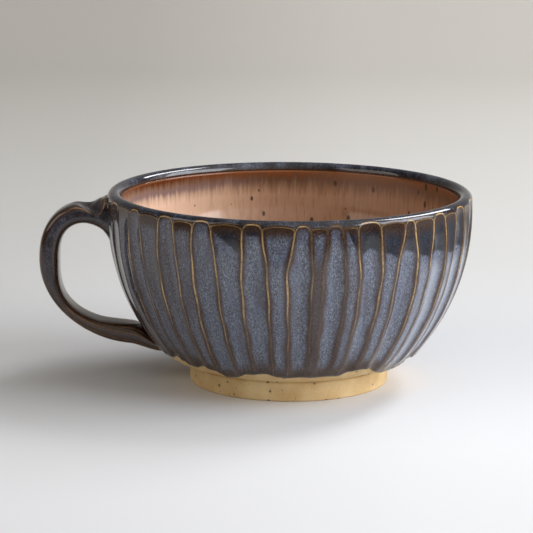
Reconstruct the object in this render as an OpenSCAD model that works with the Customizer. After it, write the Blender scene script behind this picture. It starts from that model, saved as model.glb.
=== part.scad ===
// Cafe au lait mug: a wide stoneware bowl with a carved, fluted wall, a turned foot ring,
// a pulled strap handle luted on with slip, and fired glaze coats inside and out.
// Millimetres. +Z is up, the handle points along -X, and the origin is on the table under the middle
// of the whole mug, so the bowl's axis stands a little to the +X side of it.

/* [Bowl] */
// Radius of the clay bowl at its widest, before carving
bowl_r = 72; // [56:0.5:90]
// Height of the clay bowl's lip above the table
bowl_h = 76; // [62:0.5:95]
// How far below the lip the bowl is widest
belly_drop = 8; // [5:0.5:12]
// Turn of the long wall arc, from the widest level down, in degrees
wall_sweep = 39; // [30:0.5:44]
// Radius of the tighter arc where the wall turns under
base_r = 21; // [17:0.5:28]
// Thickness of the clay wall and floor
wall_t = 4.8; // [3.5:0.1:7]

/* [Flutes] */
// Pairs of carved flutes, a deep one and a shallow one in each
flute_pairs = 27; // [16:1:30]
// Share of a pair's width that the deep flute takes
deep_share = 0.54; // [0.4:0.01:0.65]
// Radius of the loop tool that carves the deep flutes
deep_tool_r = 7; // [5.5:0.5:14]
// Radius of the flatter tool that carves the shallow flutes between them
shallow_tool_r = 18; // [12:0.5:40]

/* [Foot] */
// Outer radius of the foot ring
foot_r = 39.8; // [32:0.2:48]
// Height of the foot ring, from the table to the bowl's flat underside
foot_h = 8.4; // [7.4:0.2:12]
// Radial width of the foot ring where it stands
foot_w = 6; // [4:0.2:9]
// Depth of the turned recess under the foot
recess_h = 5.4; // [3:0.1:6]
// Height of the ring's plain band, below its turned-in neck
band_h = 7.3; // [4:0.1:7.4]
// How far the neck is turned in
neck_in = 0.5; // [0.2:0.1:1.4]
// Bevel on the ring's edges
foot_bevel = 0.8; // [0.3:0.1:1.5]
// How much of the wall's lowest curve the flat underside takes off
seat_cut = 0.3; // [0.2:0.1:1.2]

/* [Handle] */
// How far the strap's centreline reaches out from the bowl's widest radius
handle_reach = 23.5; // [20:0.5:36]
// Drop from the lip to the strap's centreline at its upper root
root_drop = 10.3; // [9:0.1:16]
// Height above the foot ring of the strap's centreline at its lower tail
tail_rise = 7.9; // [5:0.1:12]
// Place of the strap's furthest point out, between its tail at 0 and its root at 1
outer_share = 0.65; // [0.5:0.01:0.75]
// Rise of the strap above its root before it turns down
hump_rise = 6.2; // [3:0.1:9]
// Width of the strap
strap_w = 14; // [11:0.5:20]
// Thickness of the strap at its furthest point out
strap_t = 7; // [5.6:0.1:9]
// How much thinner the strap is in its lower bend, where pulling drew it out
bend_thin = 3.4; // [0:0.1:3.6]
// Thickness of the strap where it flares into the wall at the top
root_t = 17; // [12:0.5:18]
// Thickness of the strap's smeared end at the tail
tail_t = 2; // [1:0.1:4]
// Length of the thumb hollow pressed into the top of the strap
thumb_l = 10; // [8:0.5:14]
// Depth of the thumb hollow below the strap's top
thumb_in = 3.2; // [0.5:0.1:3.4]

/* [Glaze and slip] */
// Thickness of a fired glaze coat
glaze_t = 0.5; // [0.3:0.05:1]
// Thickness of the slip that lutes the handle to the wall
slip_t = 0.6; // [0.4:0.05:1.2]
// Mean distance of the glaze line above the bowl's underside, along the wall
glaze_line = 10.4; // [4:0.1:13]
// How far the glaze line wanders up and down
glaze_wave = 1; // [0:0.1:1.6]

/* [Hidden] */
$fn = 180;

degrees_per_radian = 180 / PI;
clay = "#c9a66b";
slip = "#d8c39a";
blue_glaze = "#5b6472";
pink_glaze = "#a97c66";

// The wall's outline: a long arc tangent to a tighter one that ends on the foot's flat top.
belly_z = bowl_h - belly_drop;
turn_z = foot_h - seat_cut;
wall_r = base_r + (belly_z - base_r - turn_z) / sin(wall_sweep);
wall_x = bowl_r - wall_r;
base_x = wall_x + (wall_r - base_r) * cos(wall_sweep);
base_z = belly_z - (wall_r - base_r) * sin(wall_sweep);
wall_run = wall_r * wall_sweep / degrees_per_radian;
end_angle = asin((base_z - foot_h) / base_r);
end_run = wall_run + base_r * (end_angle - wall_sweep) / degrees_per_radian;

// The full round lip, tangent to both faces of the wall.
lip_r = wall_t / 2;
lip_angle = asin((bowl_h - lip_r - belly_z) / (wall_r - lip_r));
lip_x = wall_x + (wall_r - lip_r) * cos(lip_angle);
lip_z = bowl_h - lip_r;
lip_turns = [165, 130, 95];
ledge_z = lip_z + lip_r * sin(lip_turns[0]);

// The carving: each flute is one pass of a loop tool that runs out through the lip's round, so its top
// is an arch. Every flute has three flat steps across.
steps = 3;
columns = 2 * steps * flute_pairs;
pair_angle = 360 / flute_pairs;
flute_rows = 9;

// Waves of the glaze line: share of glaze_wave, count round the bowl, and turn in degrees.
glaze_waves = [[0.9, 1, 180], [0.6, 3, 40], [0.5, 7, 200]];

// The strap's path, two curves that meet at its furthest point out.
root_x = -(bowl_r - wall_t / 2);
root_z = bowl_h - root_drop;
tail_z = foot_h + tail_rise;
tail_x = -(outline(run_at_height(tail_z)).x - wall_t / 2);
outer_x = -(bowl_r + handle_reach);
outer_z = tail_z + (root_z - tail_z) * outer_share;
root_lead = 0.27;
root_lift = 1.8;
bend_lead = 0.43;
tail_lead = 0.87;
tail_lift = 2.4;
thumb_at = 0.36;
level_span = 0.25;
smear_span = 0.25;
squareness = 0.55;
path_steps = 20;
sides = 16;

// The bowl's axis, set off so that the whole mug is centred on the origin.
axis_x = (handle_reach + strap_t / 2) / 2;

// Outward normal's angle below the horizontal, at a distance along the wall from its widest level
function normal_at(run) = run <= wall_run ? run / wall_r * degrees_per_radian
  : wall_sweep + (run - wall_run) / base_r * degrees_per_radian;

// Point [radius, height] on the uncarved outside, pushed out by out
function outline(run, out = 0) = let (a = normal_at(run))
  run <= wall_run ? [wall_x + (wall_r + out) * cos(a), belly_z - (wall_r + out) * sin(a)]
  : [base_x + (base_r + out) * cos(a), base_z - (base_r + out) * sin(a)];

// Distance along the wall at a height on it
function run_at_height(z) = let (a = asin((belly_z - z) / wall_r))
  a <= wall_sweep ? wall_r * a / degrees_per_radian
  : wall_run + base_r * (asin((base_z - z) / base_r) - wall_sweep) / degrees_per_radian;

// Whether a column of points, counted round the bowl, starts or lies in a deep flute
function is_deep(j) = floor(j / steps) % 2 == 0;

// Angle that a column's flute takes up round the axis
function flute_angle(j) = pair_angle * (is_deep(j) ? deep_share : 1 - deep_share);

// Turn of a column about the axis, with a deep flute centred on the handle
function column_turn(j) = 180 - pair_angle * deep_share / 2
  + pair_angle * (floor(j / (2 * steps)) + (is_deep(j) ? 0 : deep_share))
  + flute_angle(j) * (j % steps) / steps;

// Place across its flute: 1 on either ridge, 0 in the middle
function across(j) = abs(2 * (j % steps) / steps - 1);

// Depth that the loop tool takes at a column, where the wall has this radius
function carve_depth(j, radius) = let (half = radius * flute_angle(j) / 2 / degrees_per_radian)
  (1 - pow(across(j), 2)) * half * half / (2 * (is_deep(j) ? deep_tool_r : shallow_tool_r));

// Distance along the wall where a column's carving runs out through the lip's round
function carve_start(j, out) = let (
    apart = wall_r - lip_r,
    reach = wall_r + out - carve_depth(j, bowl_r),
    cosine = (apart * apart + reach * reach - pow(lip_r + out, 2)) / (2 * apart * reach))
  -wall_r * (lip_angle + acos(min(1, cosine))) / degrees_per_radian;

// Point [radius, height] on the lip's round, at a turn from straight out
function lip_point(turn, out) = [lip_x + (lip_r + out) * cos(turn), lip_z + (lip_r + out) * sin(turn)];

// Distance along the wall where the glaze stops: it hangs lowest at the front and wanders
function glaze_stop(turn) = end_run - glaze_line
  + glaze_wave * [for (w = glaze_waves) w[0] * sin(w[1] * turn + w[2])] * [for (w = glaze_waves) 1];

// Points [radius, height] down one column of the outside, from the lip's inner edge to the foot
function column_points(j, out) = let (
    start = carve_start(j, out),
    stop = glaze_stop(column_turn(j)),
    first = outline(start, out - carve_depth(j, bowl_r)),
    shoulder = (lip_turns[2] + atan2(first.y - lip_z, first.x - lip_x)) / 2,
    runs = [for (k = [1 : flute_rows]) start + (stop - start) * k / flute_rows],
    flat = outline(end_run))
  concat(
    [for (turn = lip_turns) lip_point(turn, out)],
    [lip_point(shoulder, out), first],
    [for (run = runs) outline(run, out - carve_depth(j, outline(run).x))],
    [[flat.x + out - carve_depth(j, flat.x), flat.y]]);

// One ring of points for each row of a grid of columns
function ring_points(row, out) = [for (j = [0 : columns - 1])
  let (p = column_points(j, out)[row], a = column_turn(j)) [p.x * cos(a), p.x * sin(a), p.y]];

// Triangles between two rings of n points that start at indices a and b, facing out when a is above b
function band(a, b, n) = [for (j = [0 : n - 1]) let (k = (j + 1) % n)
  each [[a + j, a + k, b + j], [a + k, b + k, b + j]]];

// The same triangles facing the other way
function flipped(faces) = [for (f = faces) [f[2], f[1], f[0]]];

// Solid inside the carved outside, pushed out by out: its flat top and underside are single faces
module carved_solid(out = 0) {
  rows = len(column_points(0, 0));
  points = [for (row = [0 : rows - 1]) each ring_points(row, out)];
  sides_faces = [for (row = [0 : rows - 2]) each band(row * columns, (row + 1) * columns, columns)];
  top = [for (j = [columns - 1 : -1 : 0]) j];
  bottom = [for (j = [0 : columns - 1]) (rows - 1) * columns + j];
  polyhedron(points, concat(sides_faces, [top], [bottom]));
}

// Region inside the bowl on one side of its axis, taken in by in
module hollow_outline(in = 0) {
  far = 2 * wall_r;
  floor_z = base_z - base_r + wall_t + in;
  // Beside the long arc, above the line where the two arcs meet
  intersection() {
    translate([wall_x, belly_z]) circle(wall_r - wall_t - in);
    polygon([[0, belly_z + wall_x * tan(wall_sweep)],
             [wall_x + far * cos(wall_sweep), belly_z - far * sin(wall_sweep)],
             [far, far], [0, far]]);
  }
  // Beside the tighter arc
  intersection() {
    translate([base_x, base_z]) circle(base_r - wall_t - in);
    translate([0, -far]) square(2 * far);
  }
  // Over the flat floor
  translate([0, floor_z]) square([base_x, far]);
}

// Stands what is drawn about the bowl's axis in its place
module on_axis() {
  translate([axis_x, 0, 0]) children();
}

// Thrown and carved bowl
module bowl() {
  color(clay) on_axis() difference() {
    carved_solid();
    rotate_extrude() hollow_outline();
  }
}

// Turned foot ring with its shallow recess
module foot_ring() {
  inner_r = foot_r - foot_w;
  color(clay) on_axis() rotate_extrude() polygon([
    [0, foot_h], [foot_r - neck_in, foot_h],
    [foot_r - neck_in, band_h + neck_in], [foot_r, band_h],
    [foot_r, foot_bevel], [foot_r - foot_bevel, 0],
    [inner_r + foot_bevel, 0], [inner_r, foot_bevel],
    [inner_r - foot_bevel, recess_h - foot_bevel], [inner_r - 2 * foot_bevel, recess_h],
    [0, recess_h]]);
}

// Point on a cubic curve through four control points
function cubic(p, t) = pow(1 - t, 3) * p[0] + 3 * t * pow(1 - t, 2) * p[1]
  + 3 * t * t * (1 - t) * p[2] + pow(t, 3) * p[3];

// Point [x, z] on the strap's centreline, at 0 in the upper root, 1 furthest out and 2 in the tail
function strap_point(t) = t <= 1
  ? cubic([[root_x, root_z], [root_x - handle_reach * root_lead, root_z + root_lift],
           [outer_x, root_z + hump_rise], [outer_x, outer_z]], t)
  : cubic([[outer_x, outer_z], [outer_x, outer_z - (outer_z - tail_z) * bend_lead],
           [tail_x - (tail_x - outer_x) * tail_lead, tail_z + tail_lift], [tail_x, tail_z]], t - 1);

// Unit direction [x, z] along the strap
function strap_heading(t) = let (d = strap_point(min(t + 0.01, 2)) - strap_point(max(t - 0.01, 0)))
  d / norm(d);

// Unit direction square to the strap's rings, turned level at the root so that the first ring is in the wall
function ring_heading(t) = let (
    level = max(0, 1 - t / level_span),
    d = strap_heading(t) * (1 - level) + [-level, 0])
  d / norm(d);

// Thickness of the strap: flared at its root, thinner in its lower bend and smeared out at its tail
function strap_thick(t) = strap_t + (root_t - strap_t) * pow(max(0, 1 - 2 * t), 2)
  - bend_thin * sin(180 * max(0, t - 1))
  - (strap_t - tail_t) * pow(max(0, 1 - (2 - t) / smear_span), 2);

// Depth that the thumb has pressed in, a smooth hollow along the strap
function thumb_press(t) = let (away = norm(strap_point(t) - strap_point(thumb_at)) / (thumb_l / 2))
  away < 1 ? thumb_in * pow(cos(90 * away), 2) : 0;

// Ring of points round the strap, rounded off from a rectangle, grown by out
function strap_ring(t, out) = let (
    c = strap_point(t),
    d = ring_heading(t),
    half_w = strap_w / 2 + out,
    half_t = strap_thick(t) / 2 + out)
  [for (i = [0 : sides - 1]) let (
      a = 360 * i / sides,
      w = half_w * sign(cos(a)) * pow(abs(cos(a)), squareness),
      h = sign(sin(a)) * pow(abs(sin(a)), squareness) * (sin(a) > 0 ? half_t - thumb_press(t) : half_t))
    [c.x + d.y * h, w, c.y - d.x * h]];

// Rings of points all along the strap
function strap_points(out) = [for (i = [0 : 2 * path_steps]) each strap_ring(i / path_steps, out)];

// Triangles along the strap, for rings of points that start at index first
function strap_faces(first) = [for (i = [0 : 2 * path_steps - 1])
  each band(first + i * sides, first + (i + 1) * sides, sides)];

// Lofted strap; both its ends run into the wall
module strap() {
  tail = 2 * path_steps * sides;
  root_cap = [for (i = [sides - 1 : -1 : 0]) i];
  tail_cap = [for (i = [0 : sides - 1]) tail + i];
  polyhedron(strap_points(0), concat(strap_faces(0), [root_cap], [tail_cap]));
}

// Pulled strap handle, cut to lie on the slip
module handle() {
  color(clay) on_axis() difference() {
    strap();
    carved_solid(slip_t);
  }
}

// Layer of slip between one end of the strap and the carved wall
module slip_joint(upper) {
  size = 2 * bowl_h;
  color(slip) on_axis() difference() {
    intersection() {
      strap();
      carved_solid(slip_t);
      translate([-size, -size / 2, upper ? outer_z : outer_z - size]) cube(size);
    }
    carved_solid();
  }
}

// Slip under the strap's flared root
module upper_slip_joint() {
  slip_joint(true);
}

// Slip under the strap's tail
module lower_slip_joint() {
  slip_joint(false);
}

// Blue glaze from the lip's inner edge, over the lip, down to a wandering line above the foot
module outer_glaze() {
  rows = len(column_points(0, 0)) - 1;
  outer = [for (row = [0 : rows - 1]) each ring_points(row, glaze_t)];
  inner = [for (row = [0 : rows - 1]) each ring_points(row, 0)];
  under = rows * columns;
  faces = concat(
    [for (row = [0 : rows - 2]) each band(row * columns, (row + 1) * columns, columns)],
    flipped([for (row = [0 : rows - 2])
      each band(under + row * columns, under + (row + 1) * columns, columns)]),
    band(under, 0, columns),
    band((rows - 1) * columns, under + (rows - 1) * columns, columns));
  color(blue_glaze) on_axis() difference() {
    polyhedron(concat(outer, inner), faces);
    strap();
  }
}

// Pink glaze poured inside, up to the lip's inner edge
module liner_glaze() {
  color(pink_glaze) on_axis() rotate_extrude() intersection() {
    difference() {
      hollow_outline();
      hollow_outline(glaze_t);
    }
    square([bowl_r, ledge_z]);
  }
}

// Blue glaze round the strap, up to the coat on the bowl
module handle_glaze() {
  tail = 2 * path_steps * sides;
  under = tail + sides;
  faces = concat(strap_faces(0), flipped(strap_faces(under)),
    band(under, 0, sides), band(tail, under + tail, sides));
  color(blue_glaze) on_axis() difference() {
    polyhedron(concat(strap_points(glaze_t), strap_points(0)), faces);
    carved_solid(glaze_t);
  }
}

bowl();
foot_ring();
handle();
upper_slip_joint();
lower_slip_joint();
outer_glaze();
liner_glaze();
handle_glaze();
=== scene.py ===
"""A hand-thrown cafe au lait mug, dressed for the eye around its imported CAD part.

Sizes are written in millimetres about the bowl's axis and turned to metres as a mesh is made. Turns
round the bowl are measured from the front, which is -Y, towards +X, so the handle stands at -90 degrees.
"""

import logging
import math
from dataclasses import dataclass
from enum import Enum, IntEnum

import bpy
import numpy as np
from mathutils import Euler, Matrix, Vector


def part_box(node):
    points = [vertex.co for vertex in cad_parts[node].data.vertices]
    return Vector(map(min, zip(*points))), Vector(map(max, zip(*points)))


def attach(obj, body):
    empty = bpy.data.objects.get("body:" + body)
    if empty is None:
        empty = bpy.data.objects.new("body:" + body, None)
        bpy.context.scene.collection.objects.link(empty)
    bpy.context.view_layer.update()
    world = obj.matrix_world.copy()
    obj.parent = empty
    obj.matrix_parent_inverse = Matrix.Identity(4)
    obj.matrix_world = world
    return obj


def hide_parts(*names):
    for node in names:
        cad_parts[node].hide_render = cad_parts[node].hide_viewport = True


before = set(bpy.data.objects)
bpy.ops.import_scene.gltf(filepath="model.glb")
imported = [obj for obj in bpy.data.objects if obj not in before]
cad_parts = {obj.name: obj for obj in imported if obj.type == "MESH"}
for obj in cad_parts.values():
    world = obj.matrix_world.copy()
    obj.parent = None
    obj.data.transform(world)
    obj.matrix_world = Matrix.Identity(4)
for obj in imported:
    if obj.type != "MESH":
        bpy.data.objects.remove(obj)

Array = np.ndarray
Socket = bpy.types.NodeSocket
LOG = logging.getLogger("mug")
MM = 0.001
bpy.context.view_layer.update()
# Sockets of a colour Mix node, by number because the node has several of each name
SHARE, UNDER, OVER, MIXED = 0, 6, 7, 2
# Largest size and soft edge of an iron spot, in shares of its cell
SPOT_SIZE, SPOT_SOFT = 0.26, 0.07
# Turn in degrees where the tables of the glaze's line and band start
TABLE_START = -106.0
# A distance in mm past every edge, line and band
FAR = 9.0
# Places along the strap between which its low side starts
LOW_SIDE = (1.05, 1.5)


class Slot(Enum):
    """The record's material slots."""

    STONEWARE = "stoneware"
    SLIP = "slip"
    BLUE_GLAZE = "blue_glaze"
    LINER_GLAZE = "liner_glaze"


class Seed(IntEnum):
    """Seeds of the hand's unevenness, one for each place where it shows."""

    COAT = 3
    LINE_SLOW = 5
    LINE_FINE = 6
    TAN_FADE = 8
    UNDER_LIP = 9
    AT_LINE = 13
    TAN_PATCH = 14
    BY_HANDLE = 15
    IN_BAND = 16
    BARE_EDGE = 21
    LINER = 31
    FOOT = 41


def linear(hex_colour: str) -> tuple[float, float, float, float]:
    """Turns an sRGB hex colour to linear light.

    Args:
        hex_colour: Six hex digits after a hash sign.

    Returns:
        Linear red, green, blue and an alpha of 1.
    """
    srgb = np.array([int(hex_colour[i : i + 2], 16) for i in (1, 3, 5)]) / 255
    light = np.where(srgb <= 0.04045, srgb / 12.92, ((srgb + 0.055) / 1.055) ** 2.4)
    return (*light.tolist(), 1.0)


def ease(low: float, high: float, x: Array) -> Array:
    """Rises smoothly from 0 at low to 1 at high, as 3t^2 - 2t^3.

    Args:
        low: Where the rise starts.
        high: Where it ends.
        x: Values to ease.

    Returns:
        Eased values from 0 to 1.
    """
    t = np.clip((x - low) / (high - low), 0, 1)
    return t * t * (3 - 2 * t)


def hand_wobble(
    seed: int, turn: Array, run: Array, size: float, count: int = 9, rounds: tuple[int, int] = (2, 12)
) -> Array:
    """The slow unevenness of hand work: a sum of sine waves round and down the bowl.

    Each wave goes a whole number of times round, so the surface closes on itself.

    Args:
        seed: Picks the waves.
        turn: Angles round the bowl, in radians.
        run: Distances down the wall, in mm.
        size: Typical height of the sum.
        count: Number of waves.
        rounds: Fewest and most times that a wave goes round.

    Returns:
        The sum, in the shape that turn and run share.
    """
    rng = np.random.default_rng(seed)
    times_round = rng.integers(*rounds, count)
    per_mm = rng.uniform(-0.18, 0.18, count)
    phase = rng.uniform(0, 2 * math.pi, count)
    total = sum(np.sin(n * turn + k * run + p) for n, k, p in zip(times_round, per_mm, phase))
    return size * total * math.sqrt(2 / count)


def add(
    tree: bpy.types.NodeTree,
    kind: str,
    settings: dict[str | int, object] | None = None,
    links: dict[str | int, Socket] | None = None,
    out: str | int = 0,
) -> Socket | None:
    """Adds a shader node with its settings and links.

    Args:
        tree: The material's or the world's nodes.
        kind: The node's type name, after ShaderNode.
        settings: Values for the node's own properties, by name, or for its inputs, by name or number.
            A colour ramp's value is its stops: places from 0 to 1, each with a hex colour.
        links: Sockets to join to the inputs, by name or number.
        out: The output wanted, by name or number.

    Returns:
        That output, or nothing where the node has none.
    """
    node = tree.nodes.new("ShaderNode" + kind)
    for key, value in (settings or {}).items():
        if key == "color_ramp":
            set_stops(node.color_ramp, value)
        elif isinstance(key, str) and hasattr(node, key):
            setattr(node, key, value)
        else:
            node.inputs[key].default_value = value
    for key, socket in (links or {}).items():
        tree.links.new(socket, node.inputs[key])
    return node.outputs[out] if node.outputs else None


def set_stops(ramp: bpy.types.ColorRamp, stops: tuple[tuple[float, str], ...]) -> None:
    """Sets the stops of a colour ramp.

    Args:
        ramp: The ramp.
        stops: Places from 0 to 1, each with its hex colour.
    """
    while len(ramp.elements) < len(stops):
        ramp.elements.new(1.0)
    for element, (place, colour) in zip(ramp.elements, stops):
        element.position = place
        element.color = linear(colour)


def lay(
    tree: bpy.types.NodeTree,
    colour: Socket,
    tone: str | Socket,
    value: Socket,
    low: float = 0.0,
    high: float = 1.0,
    most: float = 1.0,
    soft: bool = False,
) -> Socket:
    """Lays a tone over a colour, more of it as a value goes from low to high.

    Args:
        tree: The material's nodes.
        colour: The colour under it.
        tone: A hex colour, or a socket that gives one.
        value: What the tone's share goes by.
        low: The value where there is none of the tone.
        high: The value where there is most of it.
        most: Its largest share.
        soft: Whether the share eases in and out.

    Returns:
        The new colour.
    """
    slope = "SMOOTHSTEP" if soft else "LINEAR"
    span = {"interpolation_type": slope, "From Min": low, "From Max": high, "To Max": most}
    share = add(tree, "MapRange", span, {"Value": value})
    flat = {OVER: linear(tone)} if isinstance(tone, str) else {}
    joined = {} if flat else {OVER: tone}
    return add(tree, "Mix", {"data_type": "RGBA"} | flat, {SHARE: share, UNDER: colour} | joined, MIXED)


def iron_spots(
    tree: bpy.types.NodeTree,
    colour: Socket,
    tone: str,
    place: Socket,
    spacing: float,
    start: float,
    most: float,
) -> Socket:
    """Lays small iron spots over a colour: one in a few cells of a pattern, each of its own size.

    Args:
        tree: The material's nodes.
        colour: The colour under them.
        tone: Their hex colour.
        place: Coordinates of the pattern.
        spacing: Spacing of its cells, in those coordinates.
        start: Where a spot's soft edge starts outside its size, in shares of a cell.
        most: The largest share of the tone.

    Returns:
        The new colour.
    """
    away = add(tree, "TexVoronoi", {"Scale": 1 / spacing}, {"Vector": place}, "Distance")
    chosen = {"From Min": 0.5, "From Max": 0.8, "To Max": SPOT_SIZE}
    size = add(tree, "MapRange", chosen, {"Value": away.node.outputs["Color"]})
    outside = add(tree, "Math", {"operation": "SUBTRACT"}, {0: away, 1: size})
    return lay(tree, colour, tone, outside, start, start - SPOT_SOFT, most)


def new_material(name: str) -> tuple[bpy.types.Material, bpy.types.NodeTree]:
    """Makes an empty node material.

    Args:
        name: The real material's name.

    Returns:
        The material and its nodes.
    """
    material = bpy.data.materials.new(name)
    material.use_nodes = True
    material.node_tree.nodes.clear()
    return material, material.node_tree


def flows_round(turn: Array, run: Array, radius: Array | float) -> Array:
    """Coordinates in mm that follow a round wall without a seam: a circle for the turn, and the run.

    Args:
        turn: Angles round the axis.
        run: Distances down the wall.
        radius: Radius of the circle, one for all or one for each run.

    Returns:
        Vectors with a last axis of 3.
    """
    turn, run = np.broadcast_arrays(turn, run)
    return np.stack([radius * np.sin(turn), radius * np.cos(turn), run], -1)


@dataclass
class Grid:
    """Points on a grid whose columns close on themselves, with values at each point.

    Attributes:
        points: Array of rows, columns and 3, in mm about the bowl's axis.
        values: Name to an array of rows and columns, or of rows, columns and 3.
        rows_close: Whether the last row joins the first. If not, both get a flat cap.
    """

    points: Array
    values: dict[str, Array]
    rows_close: bool = True

    @classmethod
    def coat(cls, seen: Array, back: Array, values: dict[str, Array]) -> "Grid":
        """Joins a coat's seen face to its back on the clay, where no edge, line or band reaches.

        Args:
            seen: Points of the seen face.
            back: Points of the back, from beside the seen face's last row to beside its first.
            values: Values of the seen face.

        Returns:
            The grid, closed both ways.
        """
        behind = {
            key: np.full((len(back),) + value.shape[1:], FAR if key in ("edge", "rest", "dip") else 0.0)
            for key, value in values.items()
        }
        joined = {key: np.concatenate([value, behind[key]]) for key, value in values.items()}
        return cls(np.concatenate([seen, back]), joined)

    def faces(self) -> list[list[int]]:
        """Four-sided faces between neighbouring rows and columns, and any caps.

        Returns:
            Corner numbers of each face.
        """
        rows, columns = self.points.shape[:2]
        number = np.arange(rows * columns).reshape(rows, columns)
        below = np.roll(number, -1, 0)
        used = slice(None) if self.rows_close else slice(0, -1)
        corners = [number, below, np.roll(below, -1, 1), np.roll(number, -1, 1)]
        quads = np.stack([c[used] for c in corners], -1).reshape(-1, 4).tolist()
        caps = [] if self.rows_close else [number[0].tolist(), number[-1, ::-1].tolist()]
        return quads + caps

    def make(self, name: str, material: bpy.types.Material, node: str, slot: Slot) -> bpy.types.Object:
        """Makes the piece that stands for a CAD node.

        Args:
            name: The piece's name.
            material: Its finish.
            node: The CAD node it replaces.
            slot: The record's slot for its finish; not used.

        Returns:
            The piece, at the origin, riding on the root body.
        """
        place = self.points.reshape(-1, 3) * MM + np.array([axis_x() * MM, 0, 0])
        mesh = bpy.data.meshes.new(name)
        mesh.from_pydata(place.tolist(), [], self.faces())
        mesh.polygons.foreach_set("use_smooth", np.ones(len(mesh.polygons), bool))
        for key, value in self.values.items():
            is_vector = value.ndim == 3
            attribute = mesh.attributes.new(key, "FLOAT_VECTOR" if is_vector else "FLOAT", "POINT")
            attribute.data.foreach_set("vector" if is_vector else "value", value.astype(np.float32).ravel())
        mesh.materials.append(material)
        mesh.update()
        piece = bpy.data.objects.new(name, mesh)
        bpy.context.scene.collection.objects.link(piece)
        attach(piece, "root")
        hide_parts(node)
        LOG.info("%s: %d faces", name, len(mesh.polygons))
        return piece


def axis_x() -> float:
    """The bowl axis's place along X in the part's frame, in mm: the middle of the foot ring."""
    low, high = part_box("foot_ring")
    return (low.x + high.x) / 2 / MM


# Finishes


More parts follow.
